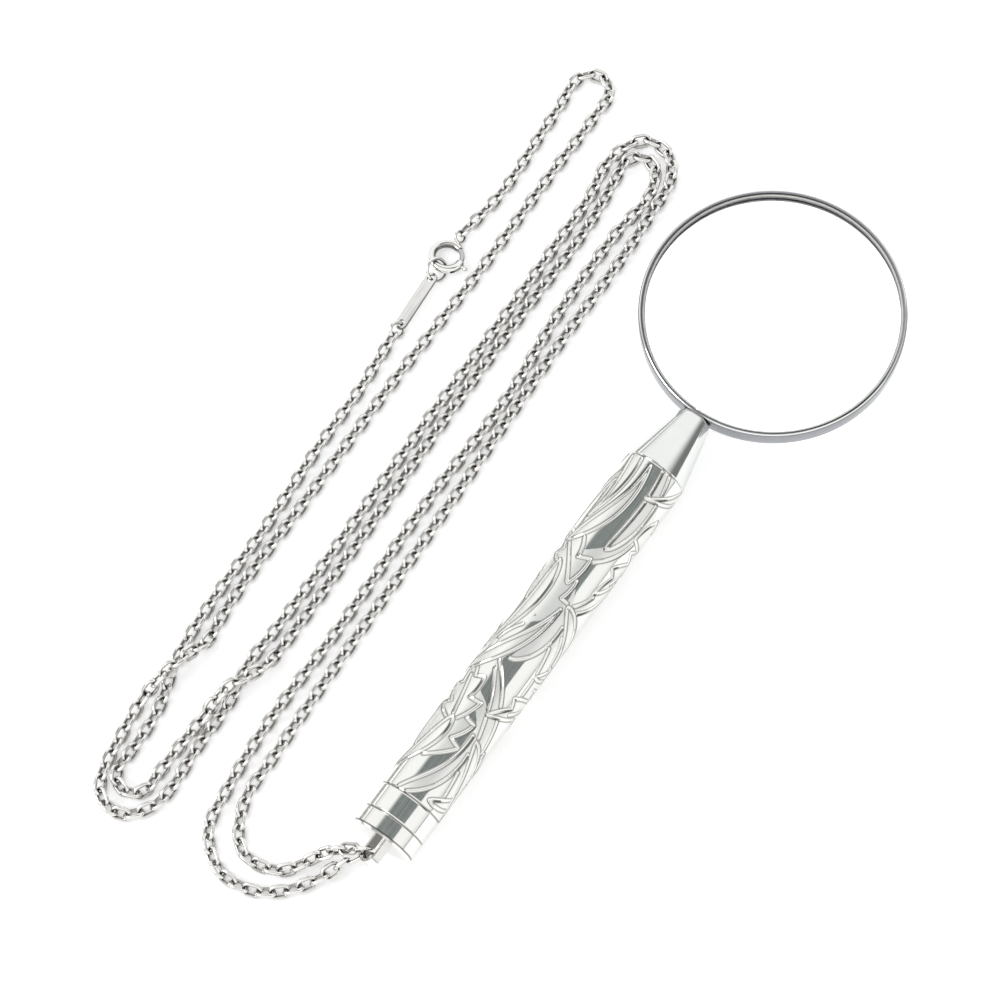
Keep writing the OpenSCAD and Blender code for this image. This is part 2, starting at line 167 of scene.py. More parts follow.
# Grass blades, long and short, and leaves: least length, its spread, fan of headings, and bend
BLADE_W = 2.0
BLADE_BELLY = 0.62
LONG_BLADE = 15, 8, 70, 60
LEAST_BEND = 0.6
SHORT_BLADE = 12, 6, 90, 50
LEAF = 10.5, 3, 130, 50
LEAF_HEADING = 20
LEAF_W = 6.4
LEAF_SKEW = 0.05
LEAF_RIB = 0.02, 0.7, 30
LEAF_EDGE_STEPS = 12
LINE_STEPS = 40
# Half of a leaf's edge: share of its length, share of its half width, bulge of the way there
LEAF_EDGE = [(0.0, 0.05, 0), (0.30, 1.0, 0.1), (0.33, 0.42, -0.06),
             (0.62, 0.76, 0.08), (0.63, 0.28, -0.05), (1.0, 0.0, 0.05)]

# Chain: its links, how they lie and hang, and the fittings at its ends
WIRE = 0.62
PITCH = 2.0
LINK_W = 2.4
LINK_PLAY = 0.12
LINK_ROLL = 45.0
LINK_R = (LINK_W - WIRE) / 2
LINK_STRAIGHT = PITCH + WIRE + LINK_PLAY - 2 * LINK_R
LINK_BEND_STEPS = 9
LINK_SIDES = 10
TABLE_GAP = 0.02
LIE = LINK_R * math.sin(math.radians(LINK_ROLL)) + WIRE / 2 + TABLE_GAP
HANG_GAP = 0.05
HANG = LINK_PLAY / 2 - HANG_GAP
SPLINE_STEPS = 24
BAIL_TIP_X = -61.0
BAIL_RING = np.array([-59.35, 1.356, 3.654])
BAIL_RING_R = 1.525
BAIL_RING_WIRE = 0.55
BAIL_RING_YAW = 120.0
BAIL_TWIST_LINKS = 4
TAG_LINK_TURN = -40
CLASP_LINK_TURN = 8
TAG_RING = np.array([8.4, 46.05, 1.199])
TAG_RING_INNER = 0.9
EYE = np.array([26.367, 47.306, 1.008])
EYE_INNER = 0.7
EYE_GAP = 0.05
ROW_YAW = math.radians(4)
ROW = np.array([math.cos(ROW_YAW), math.sin(ROW_YAW), 0.0])
# Patina and painted shade darken a link inside its bends, painted shade darkens its lower side
# Darkening of a link, inside its bends and on its lower side: start and slope, and most of the
# latter
INNER_TARNISH_AND_SHADE = 0.35, 1.3
LOWER_SHADE = 0.5, 1.5
LOWER_SHADE_MOST = 0.85

# Routes of the two strands: X from the bail's tip, Y from the handle's axis, lift above the table
TAG_ROUTE = [
    (59, 45, 0), (47, 44.5, 0), (35, 43.5, 0), (15, 42.5, 0), (11, 42, 0),
    (7, 41, 0), (3, 39.5, 0), (-7.5, 38.5, 0), (-9.4, 38.5, 0), (-10.9, 36.25, 0),
    (-10.85, 35, 0), (-9.35, 33.25, 0), (-6.15, 33.25, 0), (4, 33, 0), (9, 32.5, 2.2),
    (15.5, 30, 1.4), (18.5, 30, 0), (37, 30.5, 0), (61, 31.5, 0), (81, 32, 0),
    (103, 32.5, 0), (108.45, 33.25, 0), (113, 33.5, 0), (114.25, 31.75, 0), (114, 29.75, 0),
    (111.5, 28, 0), (101, 28, 0), (85, 27.5, 0), (71, 26, 0), (51, 26, 0),
    (27, 25, 0), (5, 24.5, 0), (-3, 23.5, 0), (-8, 22.5, 0), (-12.5, 16.5, 0),
    (-12, 12, 0), (-3.1, 4, 0.5), (-0.5, 3.25, 1),
]
CLASP_ROUTE = [
    (95, 46.5, 0), (113, 47.5, 0), (120.75, 47.5, 0), (121.9, 46, 0), (120.5, 42.5, 0),
    (116.15, 42.15, 0), (105, 42, 0), (85, 41.5, 0), (61, 41.5, 0), (41, 41, 0),
    (17, 40, 0), (14, 39.5, 0.2), (11, 40, 2), (5, 41.5, 2), (2, 42, 0.2),
    (-3, 41.5, 0), (-14, 37, 0), (-14, 34, 0), (-11.5, 31.5, 0), (1, 31, 0),
    (10, 31.5, 0), (14, 32.5, 0), (21, 32.5, 0), (55, 33.5, 0), (95, 34.5, 0),
    (105, 35, 0), (110, 36, 0), (117, 33, 0), (117, 29.5, 0), (114, 26.5, 0),
    (107, 25.5, 0), (81, 24.5, 0), (51, 23, 0), (5, 21, 0), (-2, 20.5, 0),
    (-8.35, 15.9, 0), (-7.5, 10.5, 0), (-1.5, 6, 1.5), (0.1, 4.1, 2.7),
]

# Metals: a colour and its worn tone, the range of their roughness, and depth of their scratches
BRIGHT = (0.95, 0.95, 0.93), (0.90, 0.89, 0.86)
CHAIN_TONES = (0.96, 0.95, 0.93), (0.88, 0.86, 0.83)
BARREL_TONES = (0.95, 0.955, 0.93), (0.91, 0.91, 0.88)
FERRULE_TONES = (0.90, 0.92, 0.90), (0.82, 0.84, 0.82)
PLATE_TONES = (0.86, 0.86, 0.845), (0.74, 0.73, 0.71)
# Grey of the band's metal, darkened further as painted shade for the shaded floor its wall reflects
BAND_TONES_WITH_SHADE = (0.36, 0.37, 0.39), (0.29, 0.30, 0.32)
# Near-black painted shade for the band's bore and seat
BORE_SHADE_TONES = (0.055, 0.055, 0.058), (0.03, 0.03, 0.032)
STEEL_TONES = (0.62, 0.62, 0.63), (0.52, 0.52, 0.53)
# Dark tone for the chain's patina and for painted shade, and for the cap bevel's painted reflection
TARNISH_AND_SHADE = (0.06, 0.052, 0.046)
BARREL_TARNISH = (0.13, 0.115, 0.10)
# Painted shade on the retaining ring's inner side
RETAINING_SHADE = (0.28, 0.29, 0.30)
BRUSHED = (0.4, 0.4, 0.39)
POLISH = 0.07, 0.16
TARNISHED_POLISH = 0.06, 0.14
FERRULE_POLISH = 0.05, 0.12
PLATE_POLISH = 0.12, 0.25
BAND_POLISH = 0.06, 0.13
BORE_POLISH = 0.25, 0.4
EDGE_POLISH = 0.05, 0.1
STEEL_POLISH = 0.15, 0.30
RETAINING_POLISH = 0.8, 0.95
FINE_SCRATCH = 0.03
PLATE_SCRATCH = 0.1
TURNED_SCRATCH = 0.12
SCRATCH_HEIGHT = 0.00002
# Noise in metals: scale, detail and stretch
CLOUD_NOISE = 420, 4
GLOSS_NOISE = 900, 6
SCRATCH_NOISE = 2600, 8, (0.15, 1, 1)
BRUSH_NOISE = 2200, 3, (0.06, 1, 1)
NOISE_LOW, NOISE_HIGH = 0.3, 0.7
# Where a metal darkens, and how far: painted shade facing inward and downward on a ring; a solder
# seam with painted shade, away from the lens frame on the ferrule; a painted dark reflection, away
# from the cap's bevel line; along a plate's brush marks; and painted shade on its edges
RING_INNER_SHADE = 0.1, -0.6
RETAINING_INNER_SHADE = -0.3, -0.8
RING_INNER_SHADE_MOST = 0.8
RING_LOWER_SHADE = 0.25, -0.3, 0.5
SOLDER_SEAM_AND_SHADE = (FRAME_R + 0.5) * MM, (FRAME_R + 0.2) * MM, 0.85
BEVEL_REFLECTION_LINE = 0.16 * MM, 0.05 * MM, 0.8
BRUSH_MARKS = 0.5, 0.75, 0.5
PLATE_EDGE_SHADE = 0.8, 0.3, 0.8

# Glass: its index for the first two surfaces that light meets, and what is left of it after that
GLASS_IOR = 1.5
SPENT_IOR = 1.001
FIRST_SURFACES = 1.5
# The lens's ground edge painted dark as shade
RIM_SHADE_TONES = (0.05, 0.05, 0.055), (0.09, 0.09, 0.095)
RIM_NOISE = 700, 3
RIM_GLOSS_NOISE = 1500, 4
RIM_POLISH = 0.5, 0.7


# Meshes

def new_object(name, points, faces, material, sharp=40):
    """A smooth piece from points in millimetres, whose edges above an angle stay sharp."""
    mesh = bpy.data.meshes.new(name)
    mesh.from_pydata((np.asarray(points) * MM).tolist(), [], faces)
    mesh.validate()
    mesh.polygons.foreach_set("use_smooth", [True] * len(mesh.polygons))
    if sharp:
        mesh.set_sharp_from_angle(angle=math.radians(sharp))
    mesh.materials.append(material)
    piece = bpy.data.objects.new(name, mesh)
    bpy.context.scene.collection.objects.link(piece)
    return piece


def grid_faces(rows, columns, closed_rows=False):
    """Quads of a grid whose columns go round; the rows may go round too."""
    faces = []
    for i in range(rows if closed_rows else rows - 1):
        for k in range(columns):
            a = i * columns + k
            b = i * columns + (k + 1) % columns
            c = (i + 1) % rows * columns + (k + 1) % columns
            d = (i + 1) % rows * columns + k
            faces.append((a, b, c, d))
    return faces


def lathe_points(profile, segments):
    """Points of a profile of (radius, height) turned about Z, one row for each profile point."""
    angle = np.arange(segments) * 2 * math.pi / segments
    rows = []
    for r, z in profile:
        rows.append(np.stack([r * np.cos(angle), r * np.sin(angle), np.full(segments, z)], 1))
    return np.concatenate(rows)


def arc(centre, radius, start, end):
    """Points of an arc in a profile."""
    turns = np.radians(np.linspace(start, end, ARC_STEPS + 1))
    return [(centre[0] + radius * math.cos(t), centre[1] + radius * math.sin(t)) for t in turns]


def paint_rows(piece, material, rows, segments):
    """Gives rows of a turned piece's faces another material."""
    piece.data.materials.append(material)
    for row in rows:
        for polygon in piece.data.polygons[row * segments:(row + 1) * segments]:
            polygon.material_index = len(piece.data.materials) - 1


def store(piece, name, values):
    """Keeps a value for each point on the mesh."""
    stored = piece.data.attributes.new(name, "FLOAT", "POINT")
    stored.data.foreach_set("value", values.astype(np.float32))


def coat(piece, finish):
    piece.data.materials.clear()
    piece.data.materials.append(finish)


# Shader nodes

def shader(name):
    """A material with its node tree and Principled shader."""
    material = bpy.data.materials.new(name)
    material.use_nodes = True
    return material, material.node_tree, material.node_tree.nodes["Principled BSDF"]


def fill(tree, sockets, values):
    """Links sockets to the outputs of other nodes, or sets them to plain values."""
    for socket, value in zip(sockets, values):
        if isinstance(value, bpy.types.NodeSocket):
            tree.links.new(value, socket)
        else:
            socket.default_value = value


def fill_named(tree, node, **values):
    """Fills a node's sockets by name, with spaces written as underscores."""
    fill(tree, [node.inputs[name.replace("_", " ")] for name in values], values.values())


def math_node(tree, operation, *values):
    node = tree.nodes.new("ShaderNodeMath")
    node.operation = operation
    fill(tree, node.inputs, values)
    return node.outputs[0]


def vector_node(tree, operation, *values):
    node = tree.nodes.new("ShaderNodeVectorMath")
    node.operation = operation
    fill(tree, node.inputs, values)
    return node.outputs


def coordinates(tree, kind):
    return tree.nodes.new("ShaderNodeTexCoord").outputs[kind]


def split(tree, vector):
    """X, Y and Z of a vector."""
    node = tree.nodes.new("ShaderNodeSeparateXYZ")
    fill(tree, node.inputs, [vector])
    return node.outputs


def noise_at(tree, place, scale, detail):
    node = tree.nodes.new("ShaderNodeTexNoise")
    fill_named(tree, node, Vector=place, Scale=scale, Detail=detail)
    return node.outputs["Fac"]


def noise(tree, scale, detail, stretch=(1, 1, 1)):
    """Noise in the piece's own coordinates, in metres."""
    node = tree.nodes.new("ShaderNodeMapping")
    fill_named(tree, node, Vector=coordinates(tree, "Object"), Scale=stretch)
    return noise_at(tree, node.outputs["Vector"], scale, detail)


def map_range(tree, value, start, end, low, high, kind="LINEAR"):
    """A value between start and end, moved to lie between low and high."""
    node = tree.nodes.new("ShaderNodeMapRange")
    node.interpolation_type = kind
    fill_named(tree, node, Value=value, From_Min=start, From_Max=end, To_Min=low, To_Max=high)
    return node.outputs["Result"]


def spread(tree, value, low, high):
    """Noise spread between two numbers."""
    return map_range(tree, value, NOISE_LOW, NOISE_HIGH, low, high)


def ramp(tree, value, start, end, top):
    """0 at one value, rising to a top at another."""
    return map_range(tree, value, start, end, 0, top)


def band(tree, value, low, high, soft_low, soft_high):
    """1 where a value lies between low and high, with soft edges."""
    rise = map_range(tree, value, low - soft_low, low + soft_low, 0, 1, "SMOOTHSTEP")
    fall = map_range(tree, value, high - soft_high, high + soft_high, 1, 0, "SMOOTHSTEP")
    return math_node(tree, "MULTIPLY", rise, fall)


def blend_colours(tree, factor, first, second):
    """A blend of two colours, each a tuple or another node's output."""
    node = tree.nodes.new("ShaderNodeMix")
    node.data_type = "RGBA"
    first, second = [(*c, 1) if isinstance(c, tuple) else c for c in (first, second)]
    fill_named(tree, node, Factor=factor, A=first, B=second)
    return node.outputs["Result"]


def stored_value(tree, name):
    node = tree.nodes.new("ShaderNodeAttribute")
    node.attribute_name = name
    return node.outputs["Fac"]


# Materials

def metal(name, tones, polish, scratch=FINE_SCRATCH):
    """Polished metal with cloudy wear and fine scratches."""
    material, tree, bsdf = shader(name)
    colour, worn = tones
    bump = tree.nodes.new("ShaderNodeBump")
    fill_named(tree, bump, Strength=scratch, Distance=SCRATCH_HEIGHT,
               Height=noise(tree, *SCRATCH_NOISE))
    fill_named(tree, bsdf, Metallic=1.0, Normal=bump.outputs["Normal"],
               Base_Color=blend_colours(tree, noise(tree, *CLOUD_NOISE), worn, colour),
               Roughness=spread(tree, noise(tree, *GLOSS_NOISE), *polish))
    return material, tree, bsdf


def darken(tree, bsdf, factor, dark):
    """Blends a dark tone over a shader's colour."""
    plain = bsdf.inputs["Base Color"].links[0].from_socket
    fill_named(tree, bsdf, Base_Color=blend_colours(tree, factor, plain, dark))


def tarnished_and_shaded_metal(name, tones, tarnish_and_shade, scratch=FINE_SCRATCH, satin=0.0):
    """Metal with tarnished hollows, painted shade and rougher satin parts, stored on the mesh."""
    material, tree, bsdf = metal(name, tones, TARNISHED_POLISH, scratch)
    darken(tree, bsdf, stored_value(tree, "tarnish_and_shade"), tarnish_and_shade)
    if satin:
        plain = bsdf.inputs["Roughness"].links[0].from_socket
        rough = math_node(tree, "MULTIPLY", stored_value(tree, "satin"), satin)
        fill_named(tree, bsdf, Roughness=math_node(tree, "MAXIMUM", plain, rough))
    return material


def ring_metal(piece, dark=TARNISH_AND_SHADE, polish=POLISH, inner=RING_INNER_SHADE):
    """Metal for a ring, with painted shade on its inner and lower sides."""
    material, tree, bsdf = metal(piece.name + "_silver", BRIGHT, polish)
    corners = np.array([corner[:] for corner in piece.bound_box])
    middle = (corners.min(0) + corners.max(0)) / 2
    normal = coordinates(tree, "Normal")
    outward = vector_node(tree, "SUBTRACT", coordinates(tree, "Object"), middle)[0]
    outward = vector_node(tree, "NORMALIZE", outward)[0]
    facing = vector_node(tree, "DOT_PRODUCT", outward, normal)["Value"]
    # Painted shade on the side facing the ring's middle, then on the side facing down
    darken(tree, bsdf, ramp(tree, facing, *inner, RING_INNER_SHADE_MOST), dark)
    darken(tree, bsdf, ramp(tree, split(tree, normal)["Z"], *RING_LOWER_SHADE), dark)
    return material


def soldered_metal(name):
    """Polished metal, dark where soldered to the lens frame's band: a seam and painted shade."""
    material, tree, bsdf = metal(name, FERRULE_TONES, FERRULE_POLISH)
    place = coordinates(tree, "Object")
    flat = vector_node(tree, "MULTIPLY_ADD", place, (1, 1, 0), (-RING_X * MM, 0, 0))[0]
    away = vector_node(tree, "LENGTH", flat)["Value"]
    # A solder seam with painted shade, darker towards the lens frame's band
    darken(tree, bsdf, ramp(tree, away, *SOLDER_SEAM_AND_SHADE), TARNISH_AND_SHADE)
    return material


def turned_metal(name):
    """Polished turned metal with a painted dark reflection as a thin line at the cap's bevel."""
    material, tree, bsdf = metal(name, BRIGHT, POLISH, TURNED_SCRATCH)
    along = split(tree, coordinates(tree, "Object"))["X"]
    away = math_node(tree, "ABSOLUTE", math_node(tree, "SUBTRACT", along, CAP_BEVEL_X * MM))
    # A thin line of painted dark reflection along the cap's bevel
    darken(tree, bsdf, ramp(tree, away, *BEVEL_REFLECTION_LINE), TARNISH_AND_SHADE)
    return material


def plate_metal(name):
    """Brushed metal for a flat plate, with painted shade on its upright edges."""
    material, tree, bsdf = metal(name, PLATE_TONES, PLATE_POLISH, PLATE_SCRATCH)
    darken(tree, bsdf, ramp(tree, noise(tree, *BRUSH_NOISE), *BRUSH_MARKS), BRUSHED)
    # Painted shade where the plate's faces stand upright, on its edges
    upright = math_node(tree, "ABSOLUTE", split(tree, coordinates(tree, "Normal"))["Z"])
    darken(tree, bsdf, ramp(tree, upright, *PLATE_EDGE_SHADE), TARNISH_AND_SHADE)
    return material


def clear_glass(name):
    """Clear glass, which lets light out that has been reflected inside it."""
    material, tree, bsdf = shader(name)
    depth = tree.nodes.new("ShaderNodeLightPath").outputs["Ray Depth"]
    first = math_node(tree, "LESS_THAN", depth, FIRST_SURFACES)
    added = math_node(tree, "MULTIPLY", first, GLASS_IOR - SPENT_IOR)
    fill_named(tree, bsdf, Base_Color=(*WHITE, 1), Roughness=0.0, Transmission_Weight=1.0,
               IOR=math_node(tree, "ADD", added, SPENT_IOR))
    return material


def ground_rim(name):
    """The lens's ground edge, painted dark for the shade seen at it through the glass."""
    material, tree, bsdf = shader(name)
    fill_named(tree, bsdf,
               Base_Color=blend_colours(tree, noise(tree, *RIM_NOISE), *RIM_SHADE_TONES),
               Roughness=spread(tree, noise(tree, *RIM_GLOSS_NOISE), *RIM_POLISH))
    return material


SILVER = metal("silver", BRIGHT, POLISH)[0]
PLATE_SILVER = plate_metal("plate_silver")
# The band's grey metal, darkened further as painted shade
FRAME_SILVER = metal("frame_silver", BAND_TONES_WITH_SHADE, BAND_POLISH)[0]
# Painted shade for the band's bore and seat
FRAME_BORE_SHADE = metal("frame_bore_shade", BORE_SHADE_TONES, BORE_POLISH)[0]
# Bright metal painted on the band's upper round as a highlight
FRAME_HIGHLIGHT = metal("frame_highlight", BRIGHT, EDGE_POLISH)[0]
FERRULE_SILVER = soldered_metal("ferrule_silver")
CAP_SILVER = turned_metal("cap_silver")
# The chain's stored darkening is patina with painted shade
CHAIN_SILVER = tarnished_and_shaded_metal("chain_silver", CHAIN_TONES, TARNISH_AND_SHADE)
BARREL_SILVER = tarnished_and_shaded_metal("barrel_silver", BARREL_TONES, BARREL_TARNISH,
                                TURNED_SCRATCH, SATIN)
STEEL = metal("steel", STEEL_TONES, STEEL_POLISH)[0]
GLASS = clear_glass("lens_glass")
RIM = ground_rim("lens_rim")


# Camera

def make_camera():
    azimuth = math.radians(CAMERA_AZIMUTH)
    elevation = math.radians(CAMERA_ELEVATION)
    roll = math.radians(CAMERA_ROLL)
    ahead = np.array([math.cos(elevation) * math.cos(azimuth),
                      math.cos(elevation) * math.sin(azimuth),
                      -math.sin(elevation)])
    level = np.array([math.sin(azimuth), -math.cos(azimuth), 0.0])
    upright = np.cross(level, ahead)
    right = math.cos(roll) * level + math.sin(roll) * upright
    top = -math.sin(roll) * level + math.cos(roll) * upright
    place = (CAMERA_TARGET - ahead * CAMERA_DISTANCE) * MM
    data = bpy.data.cameras.new("camera")
    data.lens = CAMERA_LENS
    data.sensor_width = CAMERA_SENSOR
    data.sensor_fit = "HORIZONTAL"
    data.clip_start = CAMERA_CLIP * MM
    camera = bpy.data.objects.new("camera", data)
    turn = Matrix((right, top, -ahead)).transposed()
    camera.matrix_world = Matrix.Translation(Vector(place)) @ turn.to_4x4()
    bpy.context.scene.collection.objects.link(camera)
    bpy.context.scene.camera = camera


make_camera()


# Chain: the two strands, link by link, and the clasp's spring

def slope(a, b, c):
    ab = np.linalg.norm(b - a)
    bc = np.linalg.norm(c - b)
    return ((b - a) * bc / ab + (c - b) * ab / bc) / (ab + bc)


def spline(points):
    """A smooth curve through the points that never sinks into the table."""
    points = np.array(points, float)
    before = 2 * points[0] - points[1]
    after = 2 * points[-1] - points[-2]
    wide = np.vstack([before, points, after])
    curve = []
    for i in range(1, len(points)):
        a, b, c, d = wide[i - 1:i + 3]
        chord = np.linalg.norm(c - b)
        m1 = chord * slope(a, b, c)
        m2 = chord * slope(b, c, d)
        for t in np.arange(SPLINE_STEPS) / SPLINE_STEPS:
            h1 = 2 * t**3 - 3 * t**2 + 1
            h2 = t**3 - 2 * t**2 + t
            curve.append(h1 * b + h2 * m1 + (1 - h1) * c + (t**3 - t**2) * m2)
    curve.append(points[-1])
    curve = np.array(curve)
    curve[:, 2] = np.maximum(curve[:, 2], LIE)
    return curve


def run_along(line):
    """The distance from a line's start to each of its points."""
    return np.concatenate([[0], np.cumsum(np.linalg.norm(np.diff(line, axis=0), axis=1))])


def look_up(at, stations, line):
    """Points of a line at some of its stations, in between where they fall so."""
    return np.stack([np.interp(at, stations, column) for column in line.T], 1)


def strand_joints(start, route, end):
    """The points where neighbouring links meet, evenly spaced along the route."""
    lifted = [(BAIL_TIP_X + x, y, LIE + z) for x, y, z in route]
    curve = spline([start, *lifted, end])
    run = run_along(curve)
    links = 2 * round((run[-1] / PITCH - 1) / 2) + 1
    return look_up(np.linspace(0, run[-1], links + 1), run, curve)


def in_bail_ring(angle):
    """Where a strand's last link hangs in the bail's ring."""
    yaw = math.radians(BAIL_RING_YAW)
    turn = math.radians(angle)
    out = math.cos(turn) * np.array([math.cos(yaw), math.sin(yaw), 0]) + math.sin(turn) * UP
    return BAIL_RING + (BAIL_RING_R - BAIL_RING_WIRE / 2 + HANG) * out


def link_shape():
    """One oval link in the XY plane: points, normals, faces, and patina with painted shade in its
    bends.
    """
    rows = []
    for side in (1, -1):
        for t in np.linspace(-90, 90, LINK_BEND_STEPS + 1):
            turn = math.radians(t)
            out = side * np.array([math.cos(turn), math.sin(turn), 0])
            rows.append((side * np.array([LINK_STRAIGHT / 2, 0, 0]) + LINK_R * out, out))
    around = np.arange(LINK_SIDES) * 2 * math.pi / LINK_SIDES
    normals = [math.cos(a) * out + math.sin(a) * UP for _, out in rows for a in around]
    middles = np.repeat([at for at, _ in rows], LINK_SIDES, axis=0)
    points = middles + WIRE / 2 * np.array(normals)
    # Patina with painted shade on the inner side of the wire, strongest in the bends
    bend = [0.5 + 0.5 * abs(out[0]) for _, out in rows]
    start, fall = INNER_TARNISH_AND_SHADE
    tarnish_and_shade = np.outer(bend, np.clip(start - fall * np.cos(around), 0, 1)).ravel()
    faces = grid_faces(len(rows), LINK_SIDES, closed_rows=True)
    return points, np.array(normals), faces, tarnish_and_shade


def link_frame(direction, roll):
    """Axes of a link that lies along a direction, rolled about it."""
    x = direction / np.linalg.norm(direction)
    y = np.cross(UP, x)
    y = y / np.linalg.norm(y)
    z = np.cross(x, y)
    turn = math.radians(roll)
    side = math.cos(turn) * y + math.sin(turn) * z
    return np.stack([x, side, np.cross(x, side)])


def make_strand(name, joints, side, replaced):
    """A strand of links that lean to either side in turn and untwist at the bail."""
    shape, normals, shape_faces, inner = link_shape()
    start, fall = LOWER_SHADE
    links = len(joints) - 1
    points = []
    faces = []
    tarnish_and_shade = []
    for i in range(links):
        lean = side if i % 2 == 0 else -side
        twist = side * max(0, 1 - (links - 1 - i) / BAIL_TWIST_LINKS)
        axes = link_frame(joints[i + 1] - joints[i], LINK_ROLL * (lean - twist))
        first = i * len(shape)
        # Painted shade on the wires' lower sides, over the patina and shade inside the bends
        lower = np.clip(start - fall * (normals @ axes)[:, 2], 0, 1)
        points.append((joints[i] + joints[i + 1]) / 2 + shape @ axes)
        tarnish_and_shade.append(np.maximum(inner, LOWER_SHADE_MOST * lower))
        faces.extend(tuple(first + p for p in face) for face in shape_faces)
    strand = new_object(name, np.concatenate(points), faces, CHAIN_SILVER, sharp=0)
    store(strand, "tarnish_and_shade", np.concatenate(tarnish_and_shade))
    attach(strand, "pendant")
    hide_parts(*replaced)
    return strand


def make_spring():
    """The clasp's spring as a steel copy of its part, left where it rests."""
    hinge = frame["record"]["behaviour"]["joints"][0]
    centre = np.array(hinge["pos_m"]) / MM
    upright = -np.array(hinge["axis"])
    ahead = EYE - centre
    ahead = ahead - (ahead @ upright) * upright
    ahead = ahead / np.linalg.norm(ahead)
    spring = bpy.data.objects.new("spring_coil", nodes["clasp_spring"].data.copy())
    coat(spring, STEEL)
    bpy.context.scene.collection.objects.link(spring)
    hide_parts("clasp_spring")
    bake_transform(spring)
    return spring


spring_coil = make_spring()
tag_joints = strand_joints(TAG_RING - (TAG_RING_INNER + HANG) * ROW, TAG_ROUTE,
                           in_bail_ring(TAG_LINK_TURN))
clasp_joints = strand_joints(EYE + (EYE_INNER + HANG - EYE_GAP) * ROW, CLASP_ROUTE,
                             in_bail_ring(CLASP_LINK_TURN))
tag_strand = make_strand("tag_strand", tag_joints, 1,
                         ["tag_chain_1", "tag_chain_2", "tag_chain_3"])
clasp_strand = make_strand("clasp_strand", clasp_joints, -1,
                           ["clasp_chain_1", "clasp_chain_2", "clasp_chain_3", "clasp_chain_4"])


# Lens and its frame

def ring_place(points):
    return points + np.array([RING_X, 0, AXIS_Z])


def sag(r):
    return LENS_CURVE - math.sqrt(LENS_CURVE**2 - r**2)


def make_lens():
    """A biconvex disc: each face is a cap of a sphere, closed at its middle."""
    radii = [LENS_R * math.sqrt(k / LENS_RINGS) for k in range(1, LENS_RINGS + 1)]
    face = [(r, LENS_EDGE / 2 + sag(LENS_R) - sag(r)) for r in radii]
    profile = face + [(r, -z) for r, z in reversed(face)]
    points = lathe_points(profile, LENS_SEGMENTS)
    faces = grid_faces(len(profile), LENS_SEGMENTS)
    middle = LENS_EDGE / 2 + sag(LENS_R)
    last = (len(profile) - 1) * LENS_SEGMENTS
    points = np.vstack([points, [[0, 0, middle], [0, 0, -middle]]])
    for k in range(LENS_SEGMENTS):
        following = (k + 1) % LENS_SEGMENTS
        faces.append((following, k, len(points) - 2))
        faces.append((last + k, last + following, len(points) - 1))
    faces = [face[::-1] for face in faces]
    piece = new_object("lens_disc", ring_place(points), faces, GLASS, LENS_SHARP)
    # The ground edge's row painted dark as shade
    paint_rows(piece, RIM, [LENS_RINGS - 1], LENS_SEGMENTS)
    piece.visible_shadow = False
    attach(piece, "pendant")
    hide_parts("lens")


def make_frame():
    """The band round the lens: a seat and bore in painted shade, and rounded edges, the upper with
    a painted highlight.
    """
    top = FRAME_H / 2
    e = FRAME_ROUND
    profile = [
        (OPEN_R, SEAT_Z),
        (OPEN_R, -top + FRAME_BEVEL),
        (OPEN_R + FRAME_BEVEL, -top),
        *arc((FRAME_R - e, e - top), e, -90, 0),
        *arc((FRAME_R - e, top - e), e, 0, 90),
        (BORE_R, top),
        *arc((RETAIN_R, RETAIN_Z), GROOVE_R, GROOVE_TURN, -GROOVE_TURN),
        (BORE_R, SEAT_Z),
    ]
    points = lathe_points(profile, FRAME_SEGMENTS)
    faces = grid_faces(len(profile), FRAME_SEGMENTS, closed_rows=True)
    piece = new_object("frame_band", ring_place(points), faces, FRAME_SILVER)
    bore = profile.index((BORE_R, top))
    edge = bore - 1 - ARC_STEPS
    # The bore, its groove, the seat and the wall below the lens in painted shade
    paint_rows(piece, FRAME_BORE_SHADE, [0, *range(bore, len(profile))], FRAME_SEGMENTS)
    # A strip of the upper round painted bright as a highlight
    paint_rows(piece, FRAME_HIGHLIGHT, [edge + k for k in range(*HIGHLIGHT_STEPS)], FRAME_SEGMENTS)
    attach(piece, "pendant")
    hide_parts("lens_frame")


make_lens()
make_frame()


# Engraved barrel, drawn flat: U along the barrel from its tail, V round it

TURNS = [np.array([0, shift]) for shift in (-AROUND, 0, AROUND)]


def bent_line(middle, heading, length, bend):
    """A curve about its middle that turns by bend along a heading, and its sideways directions."""
    turn = np.radians(heading + bend * np.linspace(-0.5, 0.5, LINE_STEPS + 1))
    moves = np.stack([np.cos(turn), np.sin(turn)], 1)[:-1] * length / LINE_STEPS
    line = np.vstack([[0, 0], np.cumsum(moves, 0)])
    line = line - line[LINE_STEPS // 2] + np.array(middle)
    return line, np.stack([-np.sin(turn), np.cos(turn)], 1)


def beside(line, side, t, reach):
    """Points at shares t of a line, each set off to the left by its reach."""
    at = t * (len(line) - 1)
    n = np.arange(len(line))
    return look_up(at, n, line) + look_up(at, n, side) * reach[:, None]


def blade(middle, heading, length, bend):
    """A grass blade: a long narrow outline, pointed at both ends."""
    line, side = bent_line(middle, heading, length, bend)
    t = np.linspace(0, 1, len(line))
    half = BLADE_W / 2 * np.sin(math.pi * t**BLADE_BELLY)
    return np.vstack([beside(line, side, t, half), beside(line, side, t, -half)[::-1]])


